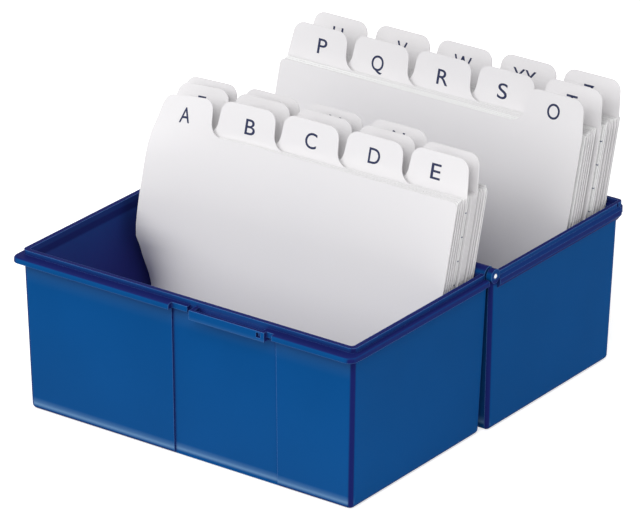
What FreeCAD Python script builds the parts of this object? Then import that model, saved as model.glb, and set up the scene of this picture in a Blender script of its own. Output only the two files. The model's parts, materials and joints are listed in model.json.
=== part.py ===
import FreeCAD, Part
import math
import os

# Index card drawer for A6 cards laid landscape: two moulded trays that stand open side by side,
# joined along their rims by a knuckle hinge on one steel rod, with an A to Z register of tabbed
# dividers and the cards between them. The rear tray folds over the front one as its lid.
#
# Frame, in millimetres: X runs to the right along the front, Y to the rear, Z up. The origin is
# the centre of the front tray's underside.

Vector = FreeCAD.Vector
UP = Vector(0, 0, 1)
RIGHT = Vector(1, 0, 0)

# Cards and dividers: the tray is as wide as the cards need
card_width = 148.0
card_height = 105.0
card_thickness = 0.3
card_room = 5.4
divider_width = 150.4
divider_thickness = 0.4
sheet_pitch = 0.78
sheet_corner_radius = 2.5
tab_height = 15.0
tab_valley = 1.2
tab_slope = 1.3
tab_corner_radius = 5.0
tab_root_radius = 6.0
lean_deg = 14.6
standing_gap = 0.3
leaning_gap = 0.3
front_side_gap = 0.5
rear_side_gap = 1.0

# Front tray
tray_depth = 92.6
rim_height = 70.0
wall = 2.1
floor = 2.2
draft_deg = 1.5
corner_radius = 2.5
bottom_radius = 2.1
long_edge_radius = 5.5
cavity_corner_radius = 1.5
cavity_bottom_radius = 1.2

# Rim of the front tray: an upstand inside an outward flange
upstand_height = 2.0
flange_thickness = 2.4
front_overhang = 4.6
side_overhang = 2.4
flange_corner_radius = 4.0
flange_edge_radius = 1.2
side_bevel_height = 2.8
square_corner_length = 5.0

# Sunk panel and latch bar on the front wall, measured to the right from the tray's middle
panel_start = -6.5
panel_width = 50.7
panel_depth = 0.8
latch_start = -4.6
latch_end = 45.5
latch_left_overhang = 2.2
latch_right_overhang = 3.0
latch_gap = 2.5
latch_bar_start = 5.5
latch_bar_length = 36.5
latch_bar_thickness = 1.3
latch_bar_height = 4.0
latch_post_width = 1.8
latch_window = 2.0
latch_window_margin = 0.7

# Rear tray, which straddles the front one when it is folded over
lid_clearance = 0.3
lid_wall = 1.7
lid_height_drop = 0.4
lid_rim_step = 1.5
lid_seat_depth = 2.3
lid_rim_wall = 1.6
lid_flange_drop = 2.9
lid_flange_overhang = 2.2
lid_band_overhang = 1.2
lid_band_height = 2.2
cheek_length = 1.8
catch_side_gap = 2.0
catch_height = 5.6
catch_thickness = 1.3
catch_bead = 0.4
catch_bead_height = 1.4

# Hinge
tray_gap = 0.4
barrel_radius = 3.3
barrel_clearance = 0.35
ear_radius = 3.0
ear_thickness = 2.6
rod_diameter = 2.3
rod_press_clearance = 0.02
rod_running_clearance = 0.06
knuckle_gap = 0.4
rod_end_chamfer = 0.3
end_knuckle_length = 39.0

# How far a cut reaches past the solid it trims
past = 1.0

# Each block from front to rear, by group: a divider by its letters, and a dash for a plain card
FRONT_BLOCK = {
    "a_e": "a - b - c - d - e - - - -",
    "f_j": "f g h i j - -",
    "k_n": "k - l - m - n -",
}
REAR_BLOCK = {
    "o": "o - - - - -",
    "p_t": "p - q - r - s - - - - t - - - - - -",
    "u_z": "u - - v - w - - xy - z - - -",
}

# The tabs of each row of the register, from left to right
TAB_ROWS = ("a b c d e", "f g h i j", "k l m n o", "p q r s t", "u v w xy z")

# Places that follow from the sizes above
half_width = card_width / 2 + card_room + wall
half_depth = tray_depth / 2
draft = math.radians(draft_deg)
taper = math.tan(draft)
lean = math.radians(lean_deg)
flange_top = rim_height - upstand_height
flange_bottom = flange_top - flange_thickness
hinge_y = half_depth + tray_gap / 2
lid_rim_height = rim_height - lid_height_drop
hinge_z = (flange_top + lid_clearance + lid_rim_height) / 2
lid_half_inside = half_width + lid_clearance
lid_half_width = lid_half_inside + lid_wall
lid_front = half_depth + tray_gap
lid_rim_inner = 2 * hinge_y + half_depth + lid_clearance
lid_rim_outer = lid_rim_inner + lid_rim_wall
lid_rear = lid_rim_inner - lid_rim_step
lid_flange_top = lid_rim_height - lid_flange_drop
lid_flange_bottom = lid_flange_top - flange_thickness
barrel_floor = hinge_z - barrel_radius - barrel_clearance
barrel_top = hinge_z + barrel_radius + barrel_clearance
rod_radius = rod_diameter / 2
ear_outer = lid_half_inside + ear_thickness
flange_end = hinge_y - ear_radius - barrel_clearance
sheet_foot = floor + standing_gap
tab_columns = len(TAB_ROWS)
panel_end = panel_start + panel_width
latch_bar_end = latch_bar_start + latch_bar_length
latch_front = -half_depth - front_overhang
wall_middle = -half_depth + wall / 2


def box(x0, x1, y0, y1, z0, z1):
    """A block between two opposite corners."""
    return Part.makeBox(x1 - x0, y1 - y0, z1 - z0, Vector(x0, y0, z0))


def rounded_rectangle(x0, x1, y0, y1, z, radius):
    """A closed wire round a rectangle with rounded corners, at one height."""
    corners = ((x1 - radius, y0 + radius, 270), (x1 - radius, y1 - radius, 0),
               (x0 + radius, y1 - radius, 90), (x0 + radius, y0 + radius, 180))
    arcs = [Part.makeCircle(radius, Vector(x, y, z), UP, start, start + 90)
            for x, y, start in corners]
    edges = []
    for arc, following in zip(arcs, arcs[1:] + arcs[:1]):
        edges.append(arc)
        edges.append(Part.makeLine(arc.valueAt(arc.LastParameter),
                                   following.valueAt(following.FirstParameter)))
    return Part.Wire(Part.__sortEdges__(edges))


def drafted_block(x0, x1, y0, y1, z0, z1, radius):
    """A block whose walls lean in towards its foot; the corners given are those at its top."""
    inset = (z1 - z0) * taper
    foot = [Vector(x0 + inset, y0 + inset, z0), Vector(x1 - inset, y0 + inset, z0),
            Vector(x1 - inset, y1 - inset, z0), Vector(x0 + inset, y1 - inset, z0)]
    head = [Vector(x0, y0, z1), Vector(x1, y0, z1), Vector(x1, y1, z1), Vector(x0, y1, z1)]
    sides = [[foot[i], foot[(i + 1) % 4], head[(i + 1) % 4], head[i]] for i in range(4)]
    faces = [Part.Face(Part.makePolygon(ring + ring[:1])) for ring in sides + [foot, head]]
    block = Part.Solid(Part.Shell(faces))
    return fillet_where(block, radius, lambda b: b.ZLength > (z1 - z0) / 2)


def slab(x0, x1, y0, y1, z0, z1, radius):
    """A flat plate with rounded corners."""
    outline = rounded_rectangle(x0, x1, y0, y1, z0, radius)
    return Part.Face(outline).extrude(Vector(0, 0, z1 - z0))


def prism_along_x(points, x0, x1):
    """A prism along X over a closed outline of (y, z) points."""
    outline = Part.makePolygon([Vector(x0, y, z) for y, z in points + points[:1]])
    return Part.Face(outline).extrude(Vector(x1 - x0, 0, 0))


def prism_along_y(points, y0, y1):
    """A prism along Y over a closed outline of (x, z) points."""
    outline = Part.makePolygon([Vector(x, y0, z) for x, z in points + points[:1]])
    return Part.Face(outline).extrude(Vector(0, y1 - y0, 0))


def hinge_cylinder(radius, x0, x1):
    """A cylinder on the hinge axis."""
    return Part.makeCylinder(radius, x1 - x0, Vector(x0, hinge_y, hinge_z), RIGHT)


def fillet_where(solid, radius, wanted):
    """Round the edges whose bounding box satisfies wanted."""
    return solid.makeFillet(radius, [edge for edge in solid.Edges if wanted(edge.BoundBox)])


def long_edge_rounder(foot_y, reach):
    """What the large radius, tangent to floor and drafted wall, takes off a rear lower edge."""
    radius = long_edge_radius
    centre_y = foot_y - radius * math.tan((math.pi / 2 - draft) / 2)
    touch_y = centre_y + radius * math.cos(draft)
    touch_z = radius - radius * math.sin(draft)
    corner = prism_along_x([(centre_y, -past), (touch_y + past, -past),
                            (touch_y + past, touch_z), (touch_y, touch_z), (centre_y, radius)],
                           -reach, reach)
    return corner.cut(Part.makeCylinder(radius, 2 * reach, Vector(-reach, centre_y, radius), RIGHT))


def tray_block(half, y0, y1, top):
    """The outside of a tray, drafted, with its lower edges rounded, the rear one most."""
    block = drafted_block(-half, half, y0, y1, 0, top, corner_radius)
    block = fillet_where(block, bottom_radius, lambda b: b.ZMax < past / 100)
    return block.cut(long_edge_rounder(y1 - top * taper, 2 * half))


def tray_cavity(half, y0, y1, top):
    """The inside of a tray, drafted like its outside and open at the top."""
    cavity = drafted_block(-half, half, y0, y1, floor, top + past, cavity_corner_radius)
    return fillet_where(cavity, cavity_bottom_radius, lambda b: b.ZMax < floor + past / 100)


def barrels(spans):
    """The hinge barrels over some (x0, x1) spans, as one shape."""
    pieces = [hinge_cylinder(barrel_radius, x0, x1) for x0, x1 in spans]
    return pieces[0].multiFuse(pieces[1:]) if len(pieces) > 1 else pieces[0]


def barrel_room(spans, y0, y1):
    """The notches that the other tray's barrels turn in."""
    notches = [box(x0 - knuckle_gap, x1 + knuckle_gap, y0, y1, barrel_floor, barrel_top)
               for x0, x1 in spans]
    return notches[0].multiFuse(notches[1:]) if len(notches) > 1 else notches[0]


def knuckle_spans():
    """The spans of the front tray's two end knuckles, and of the rear tray's one between them."""
    outer = half_width - knuckle_gap
    inner = outer - end_knuckle_length
    return [(-outer, -inner), (inner, outer)], [(knuckle_gap - inner, inner - knuckle_gap)]


def make_flange():
    """The front tray's outward flange, with bevelled undersides along both sides."""
    edge = half_width + side_overhang
    plate = slab(-edge, edge, latch_front, flange_end + flange_corner_radius,
                 flange_bottom, flange_top, flange_corner_radius)
    plate = plate.common(box(-edge, edge, latch_front, flange_end, flange_bottom, flange_top))
    plate = fillet_where(plate, flange_edge_radius,
                         lambda b: b.ZMin > flange_top - past / 100 and b.YLength > half_depth)
    for side in (-1, 1):
        inner = side * (half_width - wall / 2)
        bevel = prism_along_y([(inner, flange_bottom), (side * edge, flange_bottom),
                               (inner, flange_bottom - side_bevel_height)],
                              square_corner_length - half_depth, flange_end)
        plate = plate.fuse(bevel)
    return plate


def latch_opening():
    """Where the front flange is left out for the latch."""
    return box(latch_start, latch_end, latch_front - past, -half_depth,
               flange_bottom - past, flange_top + past)


def latch_pieces():
    """A deep, thin bar on two posts, which leaves a slot, and narrow flanges to each side."""
    left = box(latch_start, latch_bar_start - latch_gap, -half_depth - latch_left_overhang,
               wall_middle, flange_bottom, flange_top)
    right = box(latch_bar_end, latch_end, -half_depth - latch_right_overhang,
                wall_middle, flange_bottom, flange_top)
    bar_bottom = flange_top - latch_bar_height
    bar_back = latch_front + latch_bar_thickness
    bar = box(latch_bar_start, latch_bar_end, latch_front, bar_back, bar_bottom, flange_top)
    window_end = latch_bar_end - latch_post_width
    window_top = flange_top - latch_window_margin
    window = box(window_end - latch_window, window_end, latch_front - past, bar_back + past,
                 window_top - latch_window, window_top)
    posts = [box(x, x + latch_post_width, latch_front, wall_middle, bar_bottom, flange_top)
             for x in (latch_bar_start, latch_bar_end - latch_post_width)]
    return [left, right, bar.cut(window)] + posts


def panel_recess():
    """What the sunk panel takes off the front wall, from the flange down through the foot."""
    kept = drafted_block(-half_width, half_width, panel_depth - half_depth, half_depth,
                         0, rim_height, corner_radius)
    return box(panel_start, panel_end, latch_front, -half_depth / 2, -past,
               flange_bottom).cut(kept)


def make_front_tray():
    """The base tray: shell, rim, latch, sunk panel and its two hinge barrels."""
    own_spans, other_spans = knuckle_spans()
    own_barrels = barrels(own_spans)
    shell = tray_block(half_width, -half_depth, half_depth, rim_height).cut(panel_recess())
    tray = shell.multiFuse([make_flange().cut(latch_opening()), own_barrels] + latch_pieces())
    cavity = tray_cavity(half_width - wall, wall - half_depth, half_depth - wall, rim_height)
    tray = tray.cut(cavity.cut(own_barrels))
    wall_band = (half_depth - 2 * wall, half_depth + past)
    tray = tray.cut(barrel_room(other_spans, *wall_band))
    for side in (-1, 1):
        face = side * (half_width - knuckle_gap)
        beyond = side * (half_width + side_overhang + past)
        tray = tray.cut(box(min(face, beyond), max(face, beyond), flange_end,
                            hinge_y + barrel_radius, barrel_floor, barrel_top))
    bore = hinge_cylinder(rod_radius + rod_running_clearance, -ear_outer, ear_outer)
    return tray.cut(bore).removeSplitter()


def rear_rim():
    """The rear tray's rim along its back: a step out past the front tray's upstand, and a flange."""
    inside = lid_rear - lid_wall / 2
    rim = box(-lid_half_width, lid_half_width, inside, lid_rim_outer,
              lid_flange_bottom, lid_rim_height)
    rim = fillet_where(rim, corner_radius,
                       lambda b: b.ZLength > past and b.YMin > lid_rim_outer - past / 100)
    flange = slab(-lid_half_width, lid_half_width, inside - flange_corner_radius,
                  lid_rim_outer + lid_flange_overhang, lid_flange_bottom, lid_flange_top,
                  flange_corner_radius)
    flange = flange.common(box(-lid_half_width, lid_half_width, inside, 2 * lid_rear,
                               lid_flange_bottom, lid_flange_top))
    return rim.fuse(flange)


def rim_seat():
    """The ledge behind the rear wall that takes the front tray's upstand when it is shut."""
    return box(-lid_half_inside, lid_half_inside, lid_rear - 2 * lid_wall, lid_rim_inner,
               lid_rim_height - lid_seat_depth, lid_rim_height + past)


def side_bands():
    """Raised bands along the rear tray's side rims, bevelled back to the wall underneath."""
    bands = []
    for side in (-1, 1):
        inner = side * (lid_half_width - lid_wall / 2)
        face = side * lid_half_width
        outer = side * (lid_half_width + lid_band_overhang)
        top = lid_flange_top + lid_band_overhang
        foot = lid_flange_top - lid_band_height
        bands.append(prism_along_y([(inner, top), (face, top), (outer, lid_flange_top),
                                    (outer, foot), (inner, foot - side_bevel_height)],
                                   hinge_y + ear_radius, lid_rear))
    return bands


def make_catch():
    """The catch that drops through the front tray's latch slot when the box is shut."""
    front = lid_rim_inner + (lid_rim_wall - catch_thickness) / 2
    back = front + catch_thickness
    top = lid_rim_height + catch_height
    start = latch_bar_start + latch_post_width + catch_side_gap
    end = latch_bar_end - latch_post_width - catch_side_gap
    tongue = box(start, end, front, back, lid_rim_height - past, top)
    bead = prism_along_x([(back, top), (back + catch_bead, top - catch_bead_height / 2),
                          (back, top - catch_bead_height)], start, end)
    return tongue.fuse(bead)


def make_rear_tray():
    """The lid tray: shell, rim, catch, cheeks with ears, and its hinge barrel."""
    other_spans, own_spans = knuckle_spans()
    own_barrel = barrels(own_spans)
    shell = tray_block(lid_half_width, lid_front - cheek_length, lid_rear, lid_rim_height)
    front_face = drafted_block(-lid_half_width, lid_half_width, lid_front, lid_rear, 0,
                               lid_rim_height, corner_radius)
    head = lid_half_inside + past * taper
    foot = lid_half_inside - (lid_rim_height + past) * taper
    between_cheeks = prism_along_y([(-head, lid_rim_height + past), (head, lid_rim_height + past),
                                    (foot, -past), (-foot, -past)],
                                   lid_front - 2 * cheek_length, lid_rear / 2).cut(front_face)
    shell = shell.cut(between_cheeks)
    tray = shell.multiFuse([rear_rim(), own_barrel, make_catch()] + side_bands())
    cavity = tray_cavity(lid_half_width - lid_wall, lid_front + wall, lid_rear - lid_wall,
                         lid_rim_height)
    tray = tray.cut(cavity.cut(own_barrel)).cut(rim_seat())
    wall_band = (lid_front - cheek_length - past, lid_front + 2 * wall)
    tray = tray.cut(barrel_room(other_spans, *wall_band))
    ears = [hinge_cylinder(ear_radius, -ear_outer, -lid_half_inside),
            hinge_cylinder(ear_radius, lid_half_inside, ear_outer)]
    bore = hinge_cylinder(rod_radius + rod_press_clearance, -2 * ear_outer, 2 * ear_outer)
    return tray.multiFuse(ears).cut(bore).removeSplitter()


def make_rod():
    """The steel rod through every barrel and both ears."""
    rod = hinge_cylinder(rod_radius, -ear_outer, ear_outer)
    return rod.makeChamfer(rod_end_chamfer, [edge for edge in rod.Edges if edge.Closed])


def divider_corners(column):
    """A divider's corners as (x, y, radius), in its own plane, y up from its foot.

    The tab at either side of the sheet runs on from that side, with no shoulder beyond it.
    """
    pitch = divider_width / tab_columns
    edge = divider_width / 2
    tab_left = column * pitch - edge + tab_valley / 2
    tab_right = tab_left + pitch - tab_valley
    top = card_height + tab_height
    right_shoulder = [(edge, card_height, sheet_corner_radius), (tab_right, card_height, tab_root_radius)]
    left_shoulder = [(tab_left, card_height, tab_root_radius), (-edge, card_height, sheet_corner_radius)]
    if column == tab_columns - 1:
        right_shoulder = [(edge, card_height, 0)]
    if column == 0:
        left_shoulder = [(-edge, card_height, 0)]
    return [(-edge, 0, sheet_corner_radius), (edge, 0, sheet_corner_radius),
            *right_shoulder,
            (tab_right - tab_slope, top, tab_corner_radius),
            (tab_left + tab_slope, top, tab_corner_radius),
            *left_shoulder]


def rounded_outline(corners):
    """A closed wire through (x, y, radius) corners, with an arc at each one that has a radius."""
    edges = []
    joints = []
    for index, (x, y, radius) in enumerate(corners):
        corner = Vector(x, y, 0)
        before = Vector(*corners[index - 1][:2], 0) - corner
        after = Vector(*corners[(index + 1) % len(corners)][:2], 0) - corner
        half_angle = before.getAngle(after) / 2
        reach = min(radius / math.tan(half_angle), before.Length / 2, after.Length / 2)
        start = corner + before.normalize() * reach
        end = corner + after.normalize() * reach
        if reach > 0:
            inward = (before + after).normalize()
            arc_radius = reach * math.tan(half_angle)
            nearest = corner + inward * (reach / math.cos(half_angle) - arc_radius)
            edges.append(Part.Arc(start, nearest, end).toShape())
        joints.append((start, end))
    for (_, end), (start, _) in zip(joints, joints[1:] + joints[:1]):
        if end.distanceToPoint(start) > 1e-6:
            edges.append(Part.makeLine(end, start))
    return Part.Wire(Part.__sortEdges__(edges))


def stand_up(sheet, foot_x, foot_y):
    """Turn a flat sheet, drawn in XY, so that it leans back on its foot in a tray."""
    sheet.rotate(Vector(0, 0, 0), RIGHT, 90 - lean_deg)
    sheet.translate(Vector(foot_x, foot_y, sheet_foot))
    return sheet


def tab_column(letters):
    """How many tabs along from the left a divider has its tab."""
    return next(row.split().index(letters) for row in TAB_ROWS if letters in row.split())


def make_divider(letters, foot_x, foot_y):
    """One tabbed divider."""
    face = Part.Face(rounded_outline(divider_corners(tab_column(letters))))
    return stand_up(face.extrude(Vector(0, 0, -divider_thickness)), foot_x, foot_y)


def make_card(foot_x, foot_y):
    """One plain card."""
    sheet = Part.makeBox(card_width, card_height, card_thickness,
                         Vector(-card_width / 2, 0, -card_thickness))
    return stand_up(sheet, foot_x, foot_y)


def fill_tray(block, foot_x, back_y):
    """The dividers and card groups of one tray, by node name, ahead of where the last one leans."""
    sheets = [(group, item) for group, items in block.items() for item in items.split()]
    step = sheet_pitch / math.cos(lean)
    nodes = {}
    cards = {}
    for index, (group, item) in enumerate(sheets):
        place = back_y - (len(sheets) - index) * step
        if item == "-":
            cards.setdefault("cards_" + group, []).append(make_card(foot_x, place))
        else:
            nodes["divider_" + item] = make_divider(item, foot_x, place)
    for name, group in cards.items():
        nodes[name] = Part.makeCompound(group)
    return nodes


def lean_on(y, z, radius):
    """Where a leaning sheet's back meets the height of the feet, if it rests on a round edge."""
    return y - (radius + leaning_gap) / math.cos(lean) - (z - sheet_foot) * math.tan(lean)


def side_place(half_inside, side_gap):
    """How far right of the middle a block stands, pushed over towards the right wall."""
    foot_inside = half_inside - (rim_height - sheet_foot) * taper
    return foot_inside - side_gap - divider_width / 2


def main():
    """Build every node and write one STEP file for each."""
    os.makedirs("parts", exist_ok=True)
    nodes = {
        "front_tray": make_front_tray(),
        "rear_tray": make_rear_tray(),
        "hinge_rod": make_rod(),
    }
    nodes.update(fill_tray(FRONT_BLOCK, side_place(half_width - wall, front_side_gap),
                           lean_on(hinge_y, hinge_z, barrel_radius)))
    nodes.update(fill_tray(REAR_BLOCK, side_place(lid_half_inside, rear_side_gap),
                           lean_on(lid_rear - lid_wall, lid_rim_height - lid_seat_depth, 0)))
    for name, shape in nodes.items():
        shape.exportStep("parts/" + name + ".step")
        print(name, len(shape.Solids), "solids, valid:", shape.isValid(),
              "volume", round(shape.Volume, 1))


main()
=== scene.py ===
"""Looks of an index card drawer: two blue moulded trays with tabbed dividers and ruled cards."""

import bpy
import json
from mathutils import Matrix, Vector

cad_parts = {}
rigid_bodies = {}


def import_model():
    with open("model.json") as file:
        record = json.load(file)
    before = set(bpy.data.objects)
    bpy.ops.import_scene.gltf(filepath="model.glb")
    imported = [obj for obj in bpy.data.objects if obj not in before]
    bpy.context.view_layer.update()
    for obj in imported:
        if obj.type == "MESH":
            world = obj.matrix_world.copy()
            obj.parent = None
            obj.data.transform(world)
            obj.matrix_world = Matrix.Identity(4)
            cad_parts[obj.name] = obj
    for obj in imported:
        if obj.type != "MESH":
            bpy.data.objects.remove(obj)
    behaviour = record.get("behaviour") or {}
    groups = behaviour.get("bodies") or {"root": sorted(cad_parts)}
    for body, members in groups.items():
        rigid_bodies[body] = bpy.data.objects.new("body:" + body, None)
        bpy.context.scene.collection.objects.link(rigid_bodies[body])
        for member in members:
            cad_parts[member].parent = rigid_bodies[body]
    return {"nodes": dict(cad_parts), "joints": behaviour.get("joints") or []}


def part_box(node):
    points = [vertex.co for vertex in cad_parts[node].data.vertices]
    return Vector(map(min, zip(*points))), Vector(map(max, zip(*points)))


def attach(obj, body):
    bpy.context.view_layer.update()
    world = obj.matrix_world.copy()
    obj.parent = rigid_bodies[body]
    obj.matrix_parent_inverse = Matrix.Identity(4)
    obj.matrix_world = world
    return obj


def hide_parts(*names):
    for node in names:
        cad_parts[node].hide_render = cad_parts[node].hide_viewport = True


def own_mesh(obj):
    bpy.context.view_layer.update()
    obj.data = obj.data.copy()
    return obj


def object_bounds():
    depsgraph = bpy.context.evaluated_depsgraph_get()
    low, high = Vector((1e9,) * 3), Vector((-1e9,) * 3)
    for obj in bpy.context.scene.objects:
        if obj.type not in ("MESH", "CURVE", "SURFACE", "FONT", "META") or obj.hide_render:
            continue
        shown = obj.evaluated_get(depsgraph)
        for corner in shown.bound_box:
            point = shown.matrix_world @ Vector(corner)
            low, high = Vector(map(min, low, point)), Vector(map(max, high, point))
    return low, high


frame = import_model()
CAD_BOX = [list(corner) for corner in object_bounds()]

import json
from math import atan2, cos, radians

import bmesh
import bpy
from mathutils import Matrix, Vector

bl_info = {
    "name": "Index card drawer",
    "version": (1, 0, 0),
    "blender": (4, 5, 0),
    "location": "3D View > Sidebar > Card drawer",
    "description": "Dresses the packed index card drawer: trays, hinge rod, dividers, cards and letters",
    "category": "Object",
}

MM = 0.001


def srgb(red, green, blue):
    """A colour as it looks on a screen, 0 to 255, as the linear value that a shader takes."""
    channels = [c / 255 for c in (red, green, blue)]
    return tuple(c / 12.92 if c <= 0.04045 else ((c + 0.055) / 1.055) ** 2.4 for c in channels)


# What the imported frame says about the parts
JOINTS = {joint["name"]: joint for joint in frame["joints"]}
CARRIER = {joint["child"]: joint["parent"] for joint in frame["joints"]}
DIVIDERS = sorted(name for name in frame["nodes"] if name.startswith("divider_"))
CARD_GROUPS = sorted(name for name in frame["nodes"] if name.startswith("cards_"))

# Up along a leaning sheet, and squarely through it to the rear
SHEET_UP = Vector(JOINTS["lift_divider_a"]["axis"]).normalized()
SHEET_THROUGH = Vector((0, SHEET_UP.z, -SHEET_UP.y))
LEAN = atan2(SHEET_UP.y, SHEET_UP.z)
FOOT_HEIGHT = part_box("divider_a")[0].z
SHEET_HEIGHT = (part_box("divider_a")[1].z - FOOT_HEIGHT) / SHEET_UP.z

# How far the left edge of the front sheet bends to the rear, and how far that brings it down,
# as (share of the sheet's height, millimetres)
BEND_TO_REAR = ((0, 8), (0.14, 15), (0.26, 18), (0.3, 16.2), (0.4, 9.1), (0.46, 4.8),
                (0.52, 0.2), (0.6, -0.9), (0.7, -1.2), (0.8, -1.1), (0.92, 2.6), (1, 5.2))
DROP_OF_TOP = ((0, 0), (0.27, 0.6), (0.46, 4.2), (0.6, 4.9), (1, 5.1))

# How fast the bend and the drop fade from the left edge to where the sheets are straight
BEND_POWER = 4.5
DROP_POWER = 1.3

# How much navy painted shade a face of a tray takes by how far it looks up, as (0 for down to 1 for up,
# share)
PAINTED_SHADE_BY_FACING = ((0, 1), (0.2, 1), (0.38, 0), (0.75, 0), (0.9, 1))

# The height that the next two tables are shares of
TABLE_HEIGHT = 80 * MM

# The painted sheen on a tray's front wall by height, which stands in for reflected light, as (share of the
# height, share)
PAINTED_SHEEN_AT_HEIGHT = ((0, 0), (0.02, 0), (0.034, 0.75), (0.048, 0.3), (0.07, 0.02),
                  (0.7, 0), (0.8, 0.1), (0.82, 0))

# How much navy painted shade the rims along a tray's sides take by height, as (share of the height, share)
PAINTED_RIM_SHADE_AT_HEIGHT = ((0, 0), (0.8, 0), (0.813, 0.9), (0.84, 0.9), (0.85, 0.4), (1, 0.4))

# Letters that are printed off the middle of their tabs, as (millimetres across, millimetres up)
PRINTED_OFF = {
    "a": (-0.4, 0), "b": (1.6, -0.6), "c": (0.6, -0.1), "d": (0.2, 0), "e": (-0.9, 0),
    "f": (-0.8, 0.4), "l": (0, 1.8), "m": (0, 1.8), "n": (0, 1.8), "o": (0.4, 0.6),
    "p": (0.8, -0.2), "q": (-1.1, -1.7), "r": (0, -1.1), "s": (-1.2, -0.9), "u": (-1.6, 0),
    "w": (-0.6, 0), "xy": (-1.8, 0), "z": (-0.8, 0),
}

# How broad a letter is beside the built-in font's, where the two differ
BREADTHS = {
    "a": 0.84, "b": 1.13, "c": 0.98, "d": 0.95, "e": 1.25, "f": 1.2, "h": 1.05, "j": 1.1, "k": 1.1,
    "l": 1.15, "o": 0.88, "p": 1.13, "q": 0.88, "r": 1.13, "s": 1.3, "u": 0.95, "v": 0.9, "w": 0.9,
    "xy": 0.95, "z": 0.9,
}

# A letter whose outline folds over itself when its strokes are fattened
NOT_FATTENED = ("m",)

# The height of a capital of the built-in font, as a share of the font's size
CAPITAL_SHARE = 0.729

# What is higher than this above a divider's foot, in metres along the sheet, belongs to its tab
TAB_FROM = 0.108

# A card as it is drawn: its width, thickness and height in metres, and how far it may stand out of line
CARD_SIZE = (0.148, 0.00054, 0.105)
CARD_ASTRAY = 0.8 * MM
CARD_SKEW = radians(0.15)

# Into how many cells a divider is cut so that it can bend, and how many rows of points a card has
CELLS_ACROSS = 30
CELLS_UP = 24
FLAT_CARD_ROWS = 2
BOWED_CARD_ROWS = 24

# How a CAD node's loose triangles become whole faces, and which edges stay crisp
MERGE_WITHIN = 0.002 * MM
FLAT_WITHIN = radians(0.4)
CRISP_FROM = radians(35)

# The floor's size in metres, how far below the object it lies, and how brightly it glows to the camera
FLOOR_SIZE = 12
FLOOR_DROP = 0.2 * MM
FLOOR_GLOW = 0.62

# The lamps, as (name, place, size in metres, setting of the power), and the point that they face
LAMPS = (
    ("front_lamp", (0.6, -1.55, 1.8), 1.4, "front_power"),
    ("left_lamp", (-0.85, -1.1, 0.75), 0.9, "left_power"),
    ("side_lamp", (2.14, 1.04, 0.45), 0.9, "side_power"),
)
LAMPS_FACE = (0, 0.045, 0.05)


# Sizes and colours that a user would change

def colour_setting(name, description, *screen_colour):
    """A colour, given as it looks on a screen."""
    return bpy.props.FloatVectorProperty(
        name=name, description=description, subtype="COLOR", size=3, default=srgb(*screen_colour))


def length_setting(name, description, millimetres):
    """A length, given in millimetres."""
    return bpy.props.FloatProperty(
        name=name, description=description, unit="LENGTH", default=millimetres * MM)


def share_setting(name, description, share):
    """A share, where 1 is the whole."""
    return bpy.props.FloatProperty(name=name, description=description, subtype="FACTOR", default=share)


def angle_setting(name, description, degrees):
    """An angle, given in degrees."""
    return bpy.props.FloatProperty(
        name=name, description=description, subtype="ANGLE", default=radians(degrees))


def power_setting(name, description, watts):
    """A lamp's power, given in watts."""
    return bpy.props.FloatProperty(name=name, description=description, unit="POWER", default=watts)


class TrayLook(bpy.types.PropertyGroup):
    """The blue moulded trays."""
    colour: colour_setting("Colour", "Blue of the plastic", 8, 73, 133)
    # Painted shade: the navy that stands in for shade on the rims, the rounded corners, the creases and the
    # underside
    painted_shade_colour: colour_setting(
        "Deep colour", "Navy of the rims, the rounded corners and the underside", 27, 35, 98)
    # Painted shade inside the trays and wherever the moulding is shut in
    painted_recess_shade_colour: colour_setting(
        "Recess colour", "Blue where the moulding is shut in, as inside the trays", 48, 50, 126)
    # Painted highlight along the moulded edges
    painted_edge_highlight_colour: colour_setting("Edge colour", "Paler blue along the moulded edges", 95, 140, 205)
    # Painted reflection: the pale sheen above the front walls' feet and under the front flanges
    painted_sheen_colour: colour_setting(
        "Sheen colour", "Pale blue of the sheen above the front walls' feet", 112, 150, 188)
    edge_radius: length_setting("Edge radius", "How far the edges are rounded over", 0.45)
    roughness: share_setting("Roughness", "Satin of the moulding", 0.42)


class RodLook(bpy.types.PropertyGroup):
    """The steel hinge rod."""
    colour: colour_setting("Colour", "Colour of the drawn wire", 226, 228, 232)
    roughness: share_setting("Roughness", "Polish of the wire", 0.3)


class SheetLook(bpy.types.PropertyGroup):
    """The dividers and cards."""
    divider_colour: colour_setting("Divider colour", "Pale grey of the dividers", 228, 226, 227)
    card_colour: colour_setting("Card colour", "White of the cards", 240, 240, 240)
    rule_colour: colour_setting("Ruled line colour", "Grey of the lines on the cards", 96, 104, 128)
    rule_spacing: length_setting("Ruled line spacing", "From one ruled line to the next", 9.8)
    rule_width: length_setting("Ruled line width", "Width of a ruled line", 0.45)
    ruled_share: share_setting("Ruled cards", "Share of the cards that are ruled", 0.3)
    bow: share_setting("Bow", "How much of the drawn bend the front sheet has", 1.0)
    bow_fade: share_setting(
        "Bow fade", "Share of it that the last sheet of the front tray is without", 0.5)
    bow_end: length_setting("Bow end", "Where across the tray the sheets are straight again", -8)
    squashed: share_setting(
        "Bow kept when lifted", "Share of the bow that a sheet keeps out of the tray", 0.1)


class LetterLook(bpy.types.PropertyGroup):
    """The index letters on the tabs."""
    colour: colour_setting("Colour", "Dark blue of the ink", 30, 37, 68)
    height: length_setting("Height", "Height of a capital letter", 6.7)
    weight: length_setting("Weight", "How far the strokes are fattened on each side", 0.04)
    up_the_sheet: length_setting(
        "Place up the sheet", "From the foot of a divider to the middle of its letter", 112.3)
    ink: length_setting("Ink thickness", "How far the ink goes into and stands on the sheet", 0.1)


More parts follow.
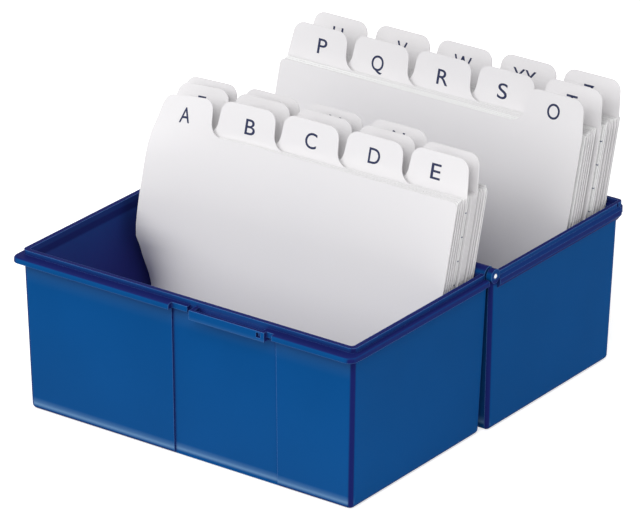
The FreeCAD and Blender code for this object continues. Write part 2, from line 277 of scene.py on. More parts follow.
class StageLook(bpy.types.PropertyGroup):
    """The camera, the lamps and the floor."""
    camera_place: bpy.props.FloatVectorProperty(
        name="Camera place", description="Where the photograph was taken from", subtype="TRANSLATION",
        size=3, default=(1.18944, -1.61753, 0.94117))
    camera_turn: angle_setting("Camera turn", "Turned to the left of straight ahead", 35.586)
    camera_pitch: angle_setting("Camera pitch", "Tilted down from level", 23.451)
    camera_roll: angle_setting("Camera roll", "Rolled about its own line of sight", 0.45)
    lens: bpy.props.FloatProperty(
        name="Focal length", description="In millimetres, on a sensor 36 mm wide", default=309.4)
    floor_colour: colour_setting("Floor colour", "Pale floor", 240, 240, 240)
    front_power: power_setting("Front lamp", "Power of the high soft lamp in front", 29)
    left_power: power_setting("Left lamp", "Power of the soft lamp near the left", 8.5)
    side_power: power_setting("Side lamp", "Power of the low soft lamp on the right", 15)
    room_level: share_setting("Room", "Brightness of the room around the object", 0.42)


SETTINGS = {
    "drawer_tray": TrayLook,
    "drawer_rod": RodLook,
    "drawer_sheet": SheetLook,
    "drawer_letter": LetterLook,
    "drawer_stage": StageLook,
}


# Node tree helpers

class Tree:
    """Adds and joins the nodes of one shader or geometry tree."""

    def __init__(self, tree):
        self.tree = tree

    def add(self, kind, links=None, values=None, **settings):
        """A node of a kind, with its settings, its linked inputs and its typed input values."""
        node = self.tree.nodes.new(kind)
        for name, value in settings.items():
            setattr(node, name, value)
        for key, value in (values or {}).items():
            node.inputs[key].default_value = value
        for key, source in (links or {}).items():
            self.join(source, node.inputs[key])
        return node

    def join(self, output, socket):
        """A link from a node's output to an input socket."""
        self.tree.links.new(output, socket)

    def maths(self, operation, *operands, clamp=False):
        """One Math node. An operand is a number or another node's output."""
        node = self.tree.nodes.new("ShaderNodeMath")
        node.operation = operation
        node.use_clamp = clamp
        for socket, operand in zip(node.inputs, operands):
            if isinstance(operand, (int, float)):
                socket.default_value = operand
            else:
                self.join(operand, socket)
        return node.outputs[0]

    def ramp(self, value, stops):
        """A grey that follows a value through (place, level) stops."""
        node = self.add("ShaderNodeValToRGB", links={0: value})
        elements = node.color_ramp.elements
        for index, (place, level) in enumerate(stops):
            element = elements[index] if index < 2 else elements.new(place)
            element.position = place
            element.color = (level, level, level, 1)
        return node.outputs[0]

    def blend(self, share, first, second):
        """A colour between two. Either colour is a value or another node's output."""
        node = self.add("ShaderNodeMix", data_type="RGBA", links={0: share})
        for index, colour in ((6, first), (7, second)):
            if isinstance(colour, bpy.types.NodeSocket):
                self.join(colour, node.inputs[index])
            else:
                node.inputs[index].default_value = (*colour, 1)
        return node.outputs[2]


def new_group(name, kind, inputs, outputs):
    """A node group with named sockets, each given as name: (socket type, default or None)."""
    group = bpy.data.node_groups.new(name, kind)
    for side, sockets in (("INPUT", inputs), ("OUTPUT", outputs)):
        for socket_name, (socket_type, default) in sockets.items():
            socket = group.interface.new_socket(socket_name, in_out=side, socket_type=socket_type)
            if default is not None:
                socket.default_value = default
    tree = Tree(group)
    return tree, tree.add("NodeGroupInput").outputs, tree.add("NodeGroupOutput").inputs


def new_material(name):
    """An empty material with its output node."""
    material = bpy.data.materials.new(name)
    material.use_nodes = True
    material.node_tree.nodes.clear()
    tree = Tree(material.node_tree)
    return material, tree, tree.add("ShaderNodeOutputMaterial").inputs


def surface(material, tree, output, links, values):
    """The material, with a Principled BSDF that has these linked inputs and values."""
    shader = tree.add("ShaderNodeBsdfPrincipled", links=links, values=values)
    tree.join(shader.outputs[0], output["Surface"])
    return material


def uneven(tree, lowest, mask, spread):
    """A roughness that rises from its lowest value by a spread where a mask is 1."""
    return tree.maths("ADD", lowest, tree.maths("MULTIPLY", mask, spread))


# Shader groups: effects that more than one material uses

def grain_group():
    """Fine unevenness: a mask from 0 to 1 and the normal that goes with it."""
    tree, inputs, outputs = new_group("Fine grain", "ShaderNodeTree", {
        "Scale": ("NodeSocketFloat", 900.0),
        "Height": ("NodeSocketFloat", 0.00001),
        "Strength": ("NodeSocketFloat", 0.3),
        "Stretch": ("NodeSocketVector", (1, 1, 1)),
        "Normal": ("NodeSocketVector", None),
    }, {
        "Mask": ("NodeSocketFloat", None),
        "Normal": ("NodeSocketVector", None),
    })
    place = tree.add("ShaderNodeTexCoord").outputs["Object"]
    stretched = tree.add("ShaderNodeVectorMath", operation="MULTIPLY",
                         links={0: place, 1: inputs["Stretch"]}).outputs[0]
    noise = tree.add("ShaderNodeTexNoise", links={"Vector": stretched, "Scale": inputs["Scale"]},
                     values={"Detail": 3.0, "Roughness": 0.6}).outputs[0]
    bump = tree.add("ShaderNodeBump", links={
        "Strength": inputs["Strength"], "Distance": inputs["Height"], "Height": noise,
        "Normal": inputs["Normal"]})
    tree.join(noise, outputs["Mask"])
    tree.join(bump.outputs[0], outputs["Normal"])
    return tree.tree


def cloud_group():
    """Slow colour drift over a moulding or a sheet: a mask from 0 to 1."""
    tree, inputs, outputs = new_group("Colour drift", "ShaderNodeTree", {
        "Scale": ("NodeSocketFloat", 14.0),
        "Contrast": ("NodeSocketFloat", 1.0),
    }, {"Mask": ("NodeSocketFloat", None)})
    place = tree.add("ShaderNodeTexCoord").outputs["Object"]
    noise = tree.add("ShaderNodeTexNoise", links={"Vector": place, "Scale": inputs["Scale"]},
                     values={"Detail": 2.0}).outputs[0]
    centred = tree.maths("SUBTRACT", noise, 0.5)
    spread = tree.maths("MULTIPLY", centred, inputs["Contrast"])
    tree.join(tree.maths("ADD", spread, 0.5, clamp=True), outputs["Mask"])
    return tree.tree


def edge_group():
    """Where edges are rounded over: the rounded normal, and a mask of the edges that stand out."""
    tree, inputs, outputs = new_group("Rounded edges", "ShaderNodeTree", {
        "Radius": ("NodeSocketFloat", 0.0003),
        "Softness": ("NodeSocketFloat", 0.35),
    }, {
        "Mask": ("NodeSocketFloat", None),
        "Normal": ("NodeSocketVector", None),
    })
    rounded = tree.add("ShaderNodeBevel", samples=6, links={"Radius": inputs["Radius"]}).outputs[0]
    flat = tree.add("ShaderNodeNewGeometry").outputs["Normal"]
    alike = tree.add("ShaderNodeVectorMath", operation="DOT_PRODUCT",
                     links={0: rounded, 1: flat}).outputs[1]
    turned = tree.maths("SUBTRACT", 1.0, alike)
    mask = tree.maths("DIVIDE", turned, inputs["Softness"], clamp=True)
    tree.join(mask, outputs["Mask"])
    tree.join(rounded, outputs["Normal"])
    return tree.tree


def facing_group():
    """Which way a face looks.

    Up is 0 for a face that looks down and 1 for one that looks up, Front and Side are 1 for one that looks
    straight to the front or to a side, and Corner masks the rounded uprights between the walls.
    """
    tree, inputs, outputs = new_group("Facing", "ShaderNodeTree", {
        "Corner start": ("NodeSocketFloat", 0.45),
        "Corner softness": ("NodeSocketFloat", 0.35),
    }, {
        "Up": ("NodeSocketFloat", None),
        "Front": ("NodeSocketFloat", None),
        "Side": ("NodeSocketFloat", None),
        "Corner": ("NodeSocketFloat", None),
    })
    normal = tree.add("ShaderNodeTexCoord").outputs["Normal"]
    axes = tree.add("ShaderNodeSeparateXYZ", links={0: normal}).outputs
    tree.join(tree.maths("MULTIPLY_ADD", axes["Z"], 0.5, 0.5), outputs["Up"])
    tree.join(tree.maths("MULTIPLY", axes["Y"], -1, clamp=True), outputs["Front"])
    tree.join(tree.maths("ABSOLUTE", axes["X"]), outputs["Side"])
    both_ways = tree.maths("ABSOLUTE", tree.maths("MULTIPLY", axes["X"], axes["Y"]))
    past = tree.maths("SUBTRACT", tree.maths("MULTIPLY", both_ways, 2.0), inputs["Corner start"])
    tree.join(tree.maths("DIVIDE", past, inputs["Corner softness"], clamp=True), outputs["Corner"])
    return tree.tree


def recess_group():
    """How shut in a face is by the piece itself: a mask from 0 in the open to 1 deep in a corner."""
    tree, inputs, outputs = new_group("Recesses", "ShaderNodeTree", {
        "Reach": ("NodeSocketFloat", 0.1),
        "Start": ("NodeSocketFloat", 0.4),
        "Softness": ("NodeSocketFloat", 0.3),
    }, {"Mask": ("NodeSocketFloat", None)})
    light = tree.add("ShaderNodeAmbientOcclusion", samples=6, only_local=True,
                     links={"Distance": inputs["Reach"]}).outputs["AO"]
    past = tree.maths("SUBTRACT", tree.maths("SUBTRACT", 1.0, light), inputs["Start"])
    tree.join(tree.maths("DIVIDE", past, inputs["Softness"], clamp=True), outputs["Mask"])
    return tree.tree


# Materials

def tray_material(groups, look):
    """Blue moulded plastic with painted light: painted shade inside, navy painted shade on the rims,
    rounded corners, creases and underside, painted highlights along the edges and a painted sheen above the
    front walls' feet.
    """
    material, tree, output = new_material("Blue moulded plastic")
    edge = tree.add("ShaderNodeGroup", node_tree=groups["edges"], values={"Radius": look.edge_radius})
    drift = tree.add("ShaderNodeGroup", node_tree=groups["drift"], values={"Scale": 18.0, "Contrast": 1.4})
    grain = tree.add("ShaderNodeGroup", node_tree=groups["grain"], links={"Normal": edge.outputs["Normal"]},
                     values={"Scale": 1500.0, "Height": 0.00001, "Strength": 0.25})
    facing = tree.add("ShaderNodeGroup", node_tree=groups["facing"])
    deeper = tuple(c * 0.9 for c in look.colour)
    lighter = tuple(min(1, c * 1.1) for c in look.colour)
    body = tree.blend(drift.outputs["Mask"], deeper, lighter)
    height = tree.add("ShaderNodeSeparateXYZ", links={0: tree.add("ShaderNodeTexCoord").outputs["Object"]})
    share = tree.maths("DIVIDE", height.outputs["Z"], TABLE_HEIGHT)
    # Painted reflection: a pale sheen on the front walls by height
    painted_sheen_mask = tree.maths("MULTIPLY", tree.ramp(share, PAINTED_SHEEN_AT_HEIGHT), facing.outputs["Front"])
    sheen = tree.blend(painted_sheen_mask, body, tuple(look.painted_sheen_colour))
    # Painted shade where the moulding is shut in, read from occlusion
    recess_shade = tree.add("ShaderNodeGroup", node_tree=groups["recesses"],
                      values={"Reach": 0.15, "Start": 0.3, "Softness": 0.25})
    # Painted shade in the creases and steps of the moulding
    crease_shade = tree.add("ShaderNodeGroup", node_tree=groups["recesses"],
                      values={"Reach": 0.004, "Start": 0.22, "Softness": 0.2})
    # Painted shade on faces that look up or down and on the rounded corners
    turned = tree.maths("MAXIMUM", tree.ramp(facing.outputs["Up"], PAINTED_SHADE_BY_FACING), facing.outputs["Corner"])
    # Painted shade on the rims along the sides
    painted_rim_shade = tree.maths("MULTIPLY", tree.ramp(share, PAINTED_RIM_SHADE_AT_HEIGHT), facing.outputs["Side"])
    sunk = tree.blend(recess_shade.outputs["Mask"], sheen, tuple(look.painted_recess_shade_colour))
    with_painted_shade = tree.blend(tree.maths("MAXIMUM", turned, painted_rim_shade), sunk, tuple(look.painted_shade_colour))
    # Painted highlight along the rounded edges
    with_painted_highlight = tree.blend(edge.outputs["Mask"], with_painted_shade, tuple(look.painted_edge_highlight_colour))
    colour = tree.blend(crease_shade.outputs["Mask"], with_painted_highlight, tuple(look.painted_shade_colour))
    roughness = uneven(tree, look.roughness - 0.05, grain.outputs["Mask"], 0.1)
    return surface(material, tree, output, links={
        "Base Color": colour, "Roughness": roughness, "Normal": grain.outputs["Normal"]},
        values={"Specular IOR Level": 0.012})


def rod_material(groups, look):
    """Drawn steel wire, with fine lines along it."""
    material, tree, output = new_material("Drawn steel")
    lines = tree.add("ShaderNodeGroup", node_tree=groups["grain"], values={
        "Scale": 4000.0, "Height": 0.000004, "Strength": 0.4, "Stretch": (0.02, 1, 1)})
    drift = tree.add("ShaderNodeGroup", node_tree=groups["drift"], values={"Scale": 90.0, "Contrast": 1.0})
    dull = tuple(c * 0.8 for c in look.colour)
    colour = tree.blend(drift.outputs["Mask"], dull, tuple(look.colour))
    roughness = uneven(tree, look.roughness - 0.05, lines.outputs["Mask"], 0.1)
    return surface(material, tree, output, links={
        "Base Color": colour, "Roughness": roughness, "Normal": lines.outputs["Normal"]},
        values={"Metallic": 1.0})


def divider_material(groups, look):
    """Pale grey sheet, smooth, with a faint drift of colour."""
    material, tree, output = new_material("Pale grey divider")
    drift = tree.add("ShaderNodeGroup", node_tree=groups["drift"], values={"Scale": 22.0, "Contrast": 1.2})
    grain = tree.add("ShaderNodeGroup", node_tree=groups["grain"], values={
        "Scale": 2600.0, "Height": 0.000004, "Strength": 0.2})
    cooler = tuple(c * f for c, f in zip(look.divider_colour, (0.97, 0.975, 0.985)))
    colour = tree.blend(drift.outputs["Mask"], cooler, tuple(look.divider_colour))
    roughness = uneven(tree, 0.45, grain.outputs["Mask"], 0.12)
    return surface(material, tree, output, links={
        "Base Color": colour, "Roughness": roughness, "Normal": grain.outputs["Normal"]},
        values={"Specular IOR Level": 0.3})


def card_material(groups, look):
    """White uncoated card with paper fibres and ruled lines right across."""
    material, tree, output = new_material("Ruled white card")
    place = tree.add("ShaderNodeTexCoord").outputs["Object"]
    up = tree.add("ShaderNodeSeparateXYZ", links={0: place}).outputs["Z"]
    rows = tree.maths("DIVIDE", tree.maths("SUBTRACT", up, FOOT_HEIGHT), look.rule_spacing * cos(LEAN))
    lines = tree.maths("LESS_THAN", tree.maths("FRACT", rows), look.rule_width / look.rule_spacing)
    luck = tree.add("ShaderNodeAttribute", attribute_name="ruled").outputs["Fac"]
    ruled = tree.maths("MULTIPLY", lines, tree.maths("LESS_THAN", luck, look.ruled_share))
    fibres = tree.add("ShaderNodeGroup", node_tree=groups["grain"], values={
        "Scale": 1800.0, "Height": 0.00001, "Strength": 0.35, "Stretch": (1, 1, 0.4)})
    shade = tuple(c * 0.94 for c in look.card_colour)
    paper = tree.blend(fibres.outputs["Mask"], shade, tuple(look.card_colour))
    colour = tree.blend(ruled, paper, tuple(look.rule_colour))
    return surface(material, tree, output, links={
        "Base Color": colour, "Normal": fibres.outputs["Normal"]},
        values={"Roughness": 0.85, "Specular IOR Level": 0.2})


def ink_material(groups, look):
    """Dark blue printing ink, a little uneven."""
    material, tree, output = new_material("Dark blue ink")
    grain = tree.add("ShaderNodeGroup", node_tree=groups["grain"], values={
        "Scale": 1400.0, "Height": 0.000003, "Strength": 0.2})
    thin = tuple(min(1, c * 1.5 + 0.01) for c in look.colour)
    colour = tree.blend(grain.outputs["Mask"], tuple(look.colour), thin)
    return surface(material, tree, output, links={
        "Base Color": colour, "Normal": grain.outputs["Normal"]},
        values={"Roughness": 0.6, "Specular IOR Level": 0.2})


def floor_material(look):
    """A pale floor that the camera and reflections see as white where no shadow falls."""
    material, tree, output = new_material("Pale floor")
    drift = tree.add("ShaderNodeTexNoise", values={"Scale": 3.0})
    duller = tuple(c * 0.98 for c in look.floor_colour)
    colour = tree.blend(drift.outputs[0], duller, tuple(look.floor_colour))
    plain = tree.add("ShaderNodeBsdfDiffuse", links={"Color": colour})
    strength = tree.maths("MULTIPLY", seen_directly(tree), FLOOR_GLOW)
    glow = tree.add("ShaderNodeEmission", links={"Strength": strength})
    both = tree.add("ShaderNodeAddShader", links={0: plain.outputs[0], 1: glow.outputs[0]})
    tree.join(both.outputs[0], output["Surface"])
    return material


def seen_directly(tree):
    """1 for rays from the camera and for reflected or refracted ones, and 0 for light on the object."""
    path = tree.add("ShaderNodeLightPath").outputs
    mirrored = tree.maths("MAXIMUM", path["Is Glossy Ray"], path["Is Transmission Ray"])
    return tree.maths("MAXIMUM", path["Is Camera Ray"], mirrored)


_made = {}


def materials():
    """Every material of the object, made once."""
    if not _made:
        scene = bpy.context.scene
        groups = {"grain": grain_group(), "drift": cloud_group(), "edges": edge_group(),
                  "facing": facing_group(), "recesses": recess_group()}
        _made["tray"] = tray_material(groups, scene.drawer_tray)
        _made["rod"] = rod_material(groups, scene.drawer_rod)
        _made["divider"] = divider_material(groups, scene.drawer_sheet)
        _made["card"] = card_material(groups, scene.drawer_sheet)
        _made["ink"] = ink_material(groups, scene.drawer_letter)
    return _made


# Mesh helpers

def paint(obj, material):
    """Gives an object one material in all its slots."""
    obj.data.materials.clear()
    obj.data.materials.append(material)


def add_object(name, mesh):
    """A new object at the origin that shows a mesh."""
    obj = bpy.data.objects.new(name, mesh)
    bpy.context.scene.collection.objects.link(obj)
    return obj


def merged_copy(node, name):
    """A copy of a CAD node as one closed mesh with whole flat faces in place of loose triangles."""
    mesh = frame["nodes"][node].data.copy()
    mesh.name = name
    shape = bmesh.new()
    shape.from_mesh(mesh)
    bmesh.ops.remove_doubles(shape, verts=shape.verts, dist=MERGE_WITHIN)
    bmesh.ops.dissolve_limit(shape, angle_limit=FLAT_WITHIN, verts=shape.verts, edges=shape.edges)
    shape.to_mesh(mesh)
    shape.free()
    return add_object(name, mesh)


def smooth(mesh, angle):
    """Smooth shading, with edges sharper than an angle left crisp."""
    mesh.shade_smooth()
    mesh.set_sharp_from_angle(angle=angle)


def settle(obj):
    """Turns what an object's modifiers make into its own plain mesh, and takes the modifiers off."""
    graph = bpy.context.evaluated_depsgraph_get()
    made = bpy.data.meshes.new_from_object(obj.evaluated_get(graph))
    made.name = obj.name
    obj.modifiers.clear()
    obj.data = made
    return obj


def run_tree(obj, group, **values):
    """Runs a geometry tree on an object, with its named inputs, and keeps the result as a plain mesh."""
    modifier = obj.modifiers.new(group.name, "NODES")
    modifier.node_group = group
    names = {item.name: item.identifier for item in group.interface.items_tree
             if item.item_type == "SOCKET" and item.in_out == "INPUT"}
    for name, value in values.items():
        modifier[names[name]] = value
    return settle(obj)


# Geometry trees: the bow of the front block, a bowed sheet, and a stack of cards

BOW_SOCKETS = {name: ("NodeSocketFloat", 0.0) for name in ("Left", "Still", "Foot", "Height", "Amount")}


def bow_group():
    """Bends the left part of a leaning sheet, most of all its lower half, which goes to the rear.

    How far is drawn once, for the left edge of the frontmost sheet, and fades out to the right.
    What the bend uses of the sheet's length, its top comes down.
    """
    tree, inputs, outputs = new_group("Bow", "GeometryNodeTree", {
        "Geometry": ("NodeSocketGeometry", None), **BOW_SOCKETS,
    }, {"Geometry": ("NodeSocketGeometry", None)})
    place = tree.add("GeometryNodeInputPosition").outputs[0]
    axes = tree.add("ShaderNodeSeparateXYZ", links={0: place}).outputs
    up = tree.maths("DIVIDE", tree.maths("SUBTRACT", axes["Z"], inputs["Foot"]), inputs["Height"])
    across = tree.maths("DIVIDE", tree.maths("SUBTRACT", inputs["Still"], axes["X"]),
                        tree.maths("SUBTRACT", inputs["Still"], inputs["Left"]), clamp=True)
    bent = tree.maths("MULTIPLY", tree.maths("POWER", across, BEND_POWER), inputs["Amount"])
    sunk = tree.maths("MULTIPLY", tree.maths("POWER", across, DROP_POWER), inputs["Amount"])
    dropped = tree.maths("POWER", sunk, 2.0)
    shift = tree.maths("MULTIPLY", bent, drawn_curve(tree, up, BEND_TO_REAR))
    lower = tree.maths("MULTIPLY", dropped, drawn_curve(tree, up, DROP_OF_TOP))
    to_rear = tree.add("ShaderNodeVectorMath", operation="SCALE", links={"Scale": shift},
                       values={0: SHEET_THROUGH}).outputs[0]
    down = tree.add("ShaderNodeVectorMath", operation="SCALE", links={"Scale": lower},
                    values={0: -SHEET_UP}).outputs[0]
    offset = tree.add("ShaderNodeVectorMath", operation="ADD", links={0: to_rear, 1: down}).outputs[0]
    moved = tree.add("GeometryNodeSetPosition", links={"Geometry": inputs["Geometry"], "Offset": offset})
    tree.join(moved.outputs[0], outputs["Geometry"])
    return tree.tree


def drawn_curve(tree, along, points):
    """A smooth curve through (share of the height, millimetres) points, read at a place along it."""
    node = tree.add("ShaderNodeFloatCurve", links={"Value": along})
    curve = node.mapping.curves[0]
    low = min(value for _, value in points)
    span = max(value for _, value in points) - low
    for index, (share, value) in enumerate(points):
        spot = (share, (value - low) / span)
        if index < 2:
            curve.points[index].location = spot
        else:
            curve.points.new(*spot)
    for point in curve.points:
        point.handle_type = "AUTO_CLAMPED"
    node.mapping.update()
    return tree.maths("MULTIPLY", tree.maths("ADD", tree.maths("MULTIPLY", node.outputs[0], span), low), MM)


def bow_values(node, look):
    """The bow's inputs for a sheet. In the front tray it fades from the front sheet to the last."""
    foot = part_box(node)[0].y
    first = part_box("divider_a")[0].y
    last = max(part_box(name)[0].y for name in DIVIDERS if in_front(name))
    amount = look.bow * (1 - look.bow_fade * (foot - first) / (last - first)) if in_front(node) else 0.0
    return {"Left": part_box("divider_a")[0].x, "Still": look.bow_end, "Foot": FOOT_HEIGHT,
            "Height": SHEET_HEIGHT * cos(LEAN), "Amount": amount}


def bowed_sheet_group(name, bow, material):
    """A flat sheet's mesh, bowed, with its material."""
    tree, inputs, outputs = new_group(name, "GeometryNodeTree", {
        "Geometry": ("NodeSocketGeometry", None), **BOW_SOCKETS,
    }, {"Geometry": ("NodeSocketGeometry", None)})
    bent = tree.add("GeometryNodeGroup", node_tree=bow,
                    links={socket: inputs[socket] for socket in ("Geometry", *BOW_SOCKETS)})
    real = tree.add("GeometryNodeRealizeInstances", links={0: bent.outputs[0]})
    done = tree.add("GeometryNodeSetMaterial", links={0: real.outputs[0]}, values={"Material": material})
    tree.join(done.outputs[0], outputs["Geometry"])
    return tree.tree


def card_stack_group(bow, material):
    """A card on each point of the carrier, each a little out of line, leaning and bowed together."""
    tree, inputs, outputs = new_group("Card stack", "GeometryNodeTree", {
        "Geometry": ("NodeSocketGeometry", None),
        "Card": ("NodeSocketVector", CARD_SIZE),
        "Rows": ("NodeSocketInt", FLAT_CARD_ROWS),
        "Lean": ("NodeSocketFloat", 0.0),
        "Out of line": ("NodeSocketFloat", 0.0),
        "Skew": ("NodeSocketFloat", 0.0),
        "Seed": ("NodeSocketInt", 0),
        **BOW_SOCKETS,
    }, {"Geometry": ("NodeSocketGeometry", None)})
    card = tree.add("GeometryNodeMeshCube", links={
        "Size": inputs["Card"], "Vertices X": inputs["Rows"], "Vertices Z": inputs["Rows"]}).outputs[0]
    tall = tree.add("ShaderNodeSeparateXYZ", links={0: inputs["Card"]}).outputs["Z"]
    half = tree.maths("DIVIDE", tall, 2)
    raised = tree.add("GeometryNodeTransform", links={
        "Geometry": card, "Translation": tree.add("ShaderNodeCombineXYZ", links={"Z": half}).outputs[0]})
    sideways = tree.add("FunctionNodeRandomValue", data_type="FLOAT", links={
        "Seed": inputs["Seed"], "Max": inputs["Out of line"],
        "Min": tree.maths("MULTIPLY", inputs["Out of line"], -1)})
    skew = tree.add("FunctionNodeRandomValue", data_type="FLOAT", links={
        "Seed": tree.maths("ADD", inputs["Seed"], 1), "Max": inputs["Skew"],
        "Min": tree.maths("MULTIPLY", inputs["Skew"], -1)})
    spread = tree.add("GeometryNodeSetPosition", links={
        "Geometry": inputs["Geometry"],
        "Offset": tree.add("ShaderNodeCombineXYZ", links={"X": sideways.outputs[1]}).outputs[0]})
    turn = tree.add("ShaderNodeCombineXYZ", links={
        "X": tree.maths("MULTIPLY", inputs["Lean"], -1), "Y": skew.outputs[1]}).outputs[0]
    placed = tree.add("GeometryNodeInstanceOnPoints", links={
        "Points": tree.add("GeometryNodeMeshToPoints", links={0: spread.outputs[0]}).outputs[0],
        "Instance": raised.outputs[0],
        "Rotation": tree.add("FunctionNodeEulerToRotation", links={0: turn}).outputs[0]})
    luck = tree.add("FunctionNodeRandomValue", data_type="FLOAT", links={
        "Seed": tree.maths("ADD", inputs["Seed"], 2)})
    marked = tree.add("GeometryNodeStoreNamedAttribute", data_type="FLOAT", domain="INSTANCE", links={
        "Geometry": placed.outputs[0], "Value": luck.outputs[1]}, values={"Name": "ruled"})
    real = tree.add("GeometryNodeRealizeInstances", links={0: marked.outputs[0]})
    bent = tree.add("GeometryNodeGroup", node_tree=bow, links={
        "Geometry": real.outputs[0], **{name: inputs[name] for name in BOW_SOCKETS}})
    done = tree.add("GeometryNodeSetMaterial", links={0: bent.outputs[0]}, values={"Material": material})
    tree.join(done.outputs[0], outputs["Geometry"])
    return tree.tree


_trees = {}


def trees():
    """The geometry trees, made once."""
    if not _trees:
        bow = bow_group()
        _trees["divider"] = bowed_sheet_group("Bowed sheet", bow, materials()["divider"])
        _trees["ink"] = bowed_sheet_group("Bowed letter", bow, materials()["ink"])
        _trees["cards"] = card_stack_group(bow, materials()["card"])
    return _trees


# Sheets

def in_front(body):
    """Whether a body stands in the front tray, where the sheets are bowed."""
    return CARRIER[body] == "front_tray"


def follow_lift(piece, node):
    """The piece rides on its sheet's body, and in the front tray it gets a mesh of its own."""
    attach(piece, node)
    if in_front(node):
        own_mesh(piece)


def cut_into_cells(mesh, across, up):
    """Cuts a leaning sheet's mesh by evenly spaced planes, so that it can bend."""
    shape = bmesh.new()
    shape.from_mesh(mesh)
    corners = [v.co for v in shape.verts]
    for normal, count in ((Vector((1, 0, 0)), across), (SHEET_UP, up)):
        reach = [corner.dot(normal) for corner in corners]
        first, last = min(reach), max(reach)
        for index in range(1, count):
            plane = normal * (first + (last - first) * index / count)
            bmesh.ops.bisect_plane(shape, geom=shape.verts[:] + shape.edges[:] + shape.faces[:],
                                   plane_co=plane, plane_no=normal, dist=0.001 * MM)
    shape.to_mesh(mesh)
    shape.free()


def tab_middle(node):
    """The middle of a divider's tab, across the sheet."""
    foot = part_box(node)[0]
    tops = [v.co.x for v in frame["nodes"][node].data.vertices
            if (v.co.z - foot.z) / SHEET_UP.z > TAB_FROM]
    return (min(tops) + max(tops)) / 2


def front_face(node):
    """How far a divider's front face lies along the line through the sheet."""
    return min(v.co.dot(SHEET_THROUGH) for v in frame["nodes"][node].data.vertices)


class DRAWER_OT_trays(bpy.types.Operator):
    """Gives both trays their moulded plastic, which rounds their edges"""
    bl_idname = "drawer.trays"
    bl_label = "Trays"

    def execute(self, context):
        for node in ("front_tray", "rear_tray"):
            paint(frame["nodes"][node], materials()["tray"])
        return {"FINISHED"}


class DRAWER_OT_rod(bpy.types.Operator):
    """Gives the hinge rod its drawn steel"""
    bl_idname = "drawer.rod"
    bl_label = "Hinge rod"

    def execute(self, context):
        paint(frame["nodes"]["hinge_rod"], materials()["rod"])
        return {"FINISHED"}


class DRAWER_OT_dividers(bpy.types.Operator):
    """Bows the front tray's dividers and gives all of them their material"""
    bl_idname = "drawer.dividers"
    bl_label = "Dividers"

    def execute(self, context):
        look = context.scene.drawer_sheet
        for node in DIVIDERS:
            if not in_front(node):
                paint(frame["nodes"][node], materials()["divider"])
                continue
            sheet = merged_copy(node, "bowed_" + node)
            cut_into_cells(sheet.data, CELLS_ACROSS, CELLS_UP)
            run_tree(sheet, trees()["divider"], **bow_values(node, look))
            paint(sheet, materials()["divider"])
            smooth(sheet.data, CRISP_FROM)
            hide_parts(node)
            follow_lift(sheet, node)
        return {"FINISHED"}


class DRAWER_OT_cards(bpy.types.Operator):
    """Fills in the ruled cards, a little out of line, each by itself where the cards are bowed"""
    bl_idname = "drawer.cards"
    bl_label = "Cards"

    def execute(self, context):
        look = context.scene.drawer_sheet
        seed = 0
        for node in CARD_GROUPS:
            feet = card_feet(node)
            batches = [[foot] for foot in feet] if in_front(node) else [feet]
            for number, batch in enumerate(batches, 1):
                name = "ruled_%s_%d" % (node, number)
                carrier = bpy.data.meshes.new(name)
                carrier.from_pydata(batch, [], [])
                stack = add_object(name, carrier)
                seed += 3
                rows = BOWED_CARD_ROWS if in_front(node) else FLAT_CARD_ROWS
                run_tree(stack, trees()["cards"], Card=CARD_SIZE, Rows=rows, Lean=LEAN, Skew=CARD_SKEW,
                         Seed=seed, **{"Out of line": CARD_ASTRAY}, **bow_values(node, look))
                paint(stack, materials()["card"])
                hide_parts(node)
                follow_lift(stack, node)
        return {"FINISHED"}


def card_feet(node):
    """The middle of the foot of each card of a group, from front to rear."""
    corners = [v.co for v in frame["nodes"][node].data.vertices]
    low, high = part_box(node)
    places = sorted({round(corner.dot(SHEET_THROUGH), 6) for corner in corners})
    feet = []
    for front, rear in zip(places[::2], places[1::2]):
        through = (front + rear) / 2
        spot = SHEET_THROUGH * through
        rise = (low.z - spot.z) / SHEET_UP.z
        foot = spot + SHEET_UP * rise
        feet.append(((low.x + high.x) / 2, foot.y, foot.z))
    return feet


class DRAWER_OT_letters(bpy.types.Operator):
    """Prints the index letters on the tabs"""
    bl_idname = "drawer.letters"
    bl_label = "Letters"

    def execute(self, context):
        look = context.scene.drawer_letter
        for node in DIVIDERS:
            letter = print_letter(node, look)
            run_tree(letter, trees()["ink"], **bow_values(node, context.scene.drawer_sheet))
            paint(letter, materials()["ink"])
            follow_lift(letter, node)
        return {"FINISHED"}


def print_letter(node, look):
    """A divider's letters as thin ink on the front face of its tab."""
    letters = node.removeprefix("divider_")
    curve = bpy.data.curves.new("ink", "FONT")
    curve.body = letters.upper()
    curve.align_x = "CENTER"
    curve.size = look.height / CAPITAL_SHARE
    curve.extrude = look.ink / 2
    curve.offset = 0 if letters in NOT_FATTENED else look.weight
    curve.resolution_u = 6
    writing = add_object("ink", curve)
    bpy.context.view_layer.update()
    graph = bpy.context.evaluated_depsgraph_get()
    mesh = bpy.data.meshes.new_from_object(writing.evaluated_get(graph))
    bpy.data.objects.remove(writing)
    mesh.name = "letter_" + letters
    across, up = PRINTED_OFF.get(letters, (0, 0))
    place = (SHEET_THROUGH * front_face(node)
             + SHEET_UP * (look.up_the_sheet + up * MM + foot_along(node)))
    place.x = tab_middle(node) + across * MM
    turn = Matrix((Vector((1, 0, 0)), SHEET_UP, -SHEET_THROUGH)).transposed().to_4x4()
    broaden = Matrix.Diagonal((BREADTHS.get(letters, 1), 1, 1, 1))
    centre = Matrix.Translation((0, -look.height / 2, 0))
    mesh.transform(Matrix.Translation(place) @ turn @ broaden @ centre)
    return add_object("letter_" + letters, mesh)


def foot_along(node):
    """How far up the sheet line a divider's foot lies."""
    return min(v.co.dot(SHEET_UP) for v in frame["nodes"][node].data.vertices)


# Stage

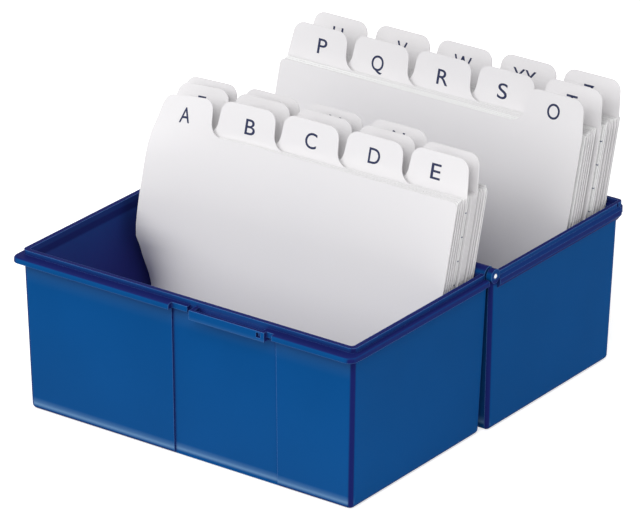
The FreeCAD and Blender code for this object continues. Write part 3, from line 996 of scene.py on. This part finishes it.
def add_lamp(name, place, size, power):
    """A square soft lamp that faces the object."""
    lamp = bpy.data.lights.new(name, "AREA")
    lamp.shape = "SQUARE"
    lamp.size = size
    lamp.energy = power
    obj = bpy.data.objects.new(name, lamp)
    bpy.context.scene.collection.objects.link(obj)
    obj.location = place
    obj.rotation_euler = (Vector(LAMPS_FACE) - Vector(place)).to_track_quat("-Z", "Y").to_euler()


def set_world(look):
    """A dim room that the camera and reflections see as white."""
    world = bpy.data.worlds.new("Studio")
    bpy.context.scene.world = world
    world.use_nodes = True
    world.node_tree.nodes.clear()
    tree = Tree(world.node_tree)
    room = tree.add("ShaderNodeBackground", values={
        "Color": (1, 1, 1, 1), "Strength": look.room_level})
    white = tree.add("ShaderNodeBackground", values={"Color": (1, 1, 1, 1), "Strength": 1.0})
    mix = tree.add("ShaderNodeMixShader", links={
        0: seen_directly(tree), 1: room.outputs[0], 2: white.outputs[0]})
    output = tree.add("ShaderNodeOutputWorld")
    tree.join(mix.outputs[0], output.inputs["Surface"])


class DRAWER_OT_stage(bpy.types.Operator):
    """Sets the camera, the lamps, the floor and the room"""
    bl_idname = "drawer.stage"
    bl_label = "Stage"

    def execute(self, context):
        look = context.scene.drawer_stage
        data = bpy.data.cameras.new("Camera")
        data.sensor_width = 36
        data.lens = look.lens
        data.clip_start = 0.1
        camera = bpy.data.objects.new("Camera", data)
        context.scene.collection.objects.link(camera)
        camera.matrix_world = (Matrix.Translation(look.camera_place)
                               @ Matrix.Rotation(look.camera_turn, 4, "Z")
                               @ Matrix.Rotation(radians(90) - look.camera_pitch, 4, "X")
                               @ Matrix.Rotation(look.camera_roll, 4, "Z"))
        context.scene.camera = camera
        bpy.ops.mesh.primitive_plane_add(size=FLOOR_SIZE)
        floor = context.object
        floor.name = "floor"
        floor.location.z = CAD_BOX[0][2] - FLOOR_DROP
        paint(floor, floor_material(look))
        for name, place, size, power in LAMPS:
            add_lamp(name, place, size, getattr(look, power))
        set_world(look)
        context.scene.view_settings.view_transform = "Standard"
        return {"FINISHED"}


OPERATORS = (DRAWER_OT_trays, DRAWER_OT_rod, DRAWER_OT_dividers, DRAWER_OT_cards, DRAWER_OT_letters,
             DRAWER_OT_stage)


class DRAWER_PT_panel(bpy.types.Panel):
    """Lists the pieces of the index card drawer"""
    bl_idname = "DRAWER_PT_panel"
    bl_label = "Card drawer"
    bl_space_type = "VIEW_3D"
    bl_region_type = "UI"
    bl_category = "Card drawer"

    def draw(self, context):
        for name, group in SETTINGS.items():
            box = self.layout.box()
            for setting in group.__annotations__:
                box.prop(getattr(context.scene, name), setting)
        for operator in OPERATORS:
            self.layout.operator(operator.bl_idname)


def register():
    """Registers the settings, the operators and the panel."""
    for name, group in SETTINGS.items():
        bpy.utils.register_class(group)
        setattr(bpy.types.Scene, name, bpy.props.PointerProperty(type=group))
    for item in (*OPERATORS, DRAWER_PT_panel):
        bpy.utils.register_class(item)


def unregister():
    """Takes them away again."""
    for item in reversed((*OPERATORS, DRAWER_PT_panel)):
        bpy.utils.unregister_class(item)
    for name, group in SETTINGS.items():
        delattr(bpy.types.Scene, name)
        bpy.utils.unregister_class(group)


def main():
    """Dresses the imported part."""
    register()
    for operator in OPERATORS:
        group, name = operator.bl_idname.split(".")
        getattr(getattr(bpy.ops, group), name)()


if __name__ == "__main__":
    main()
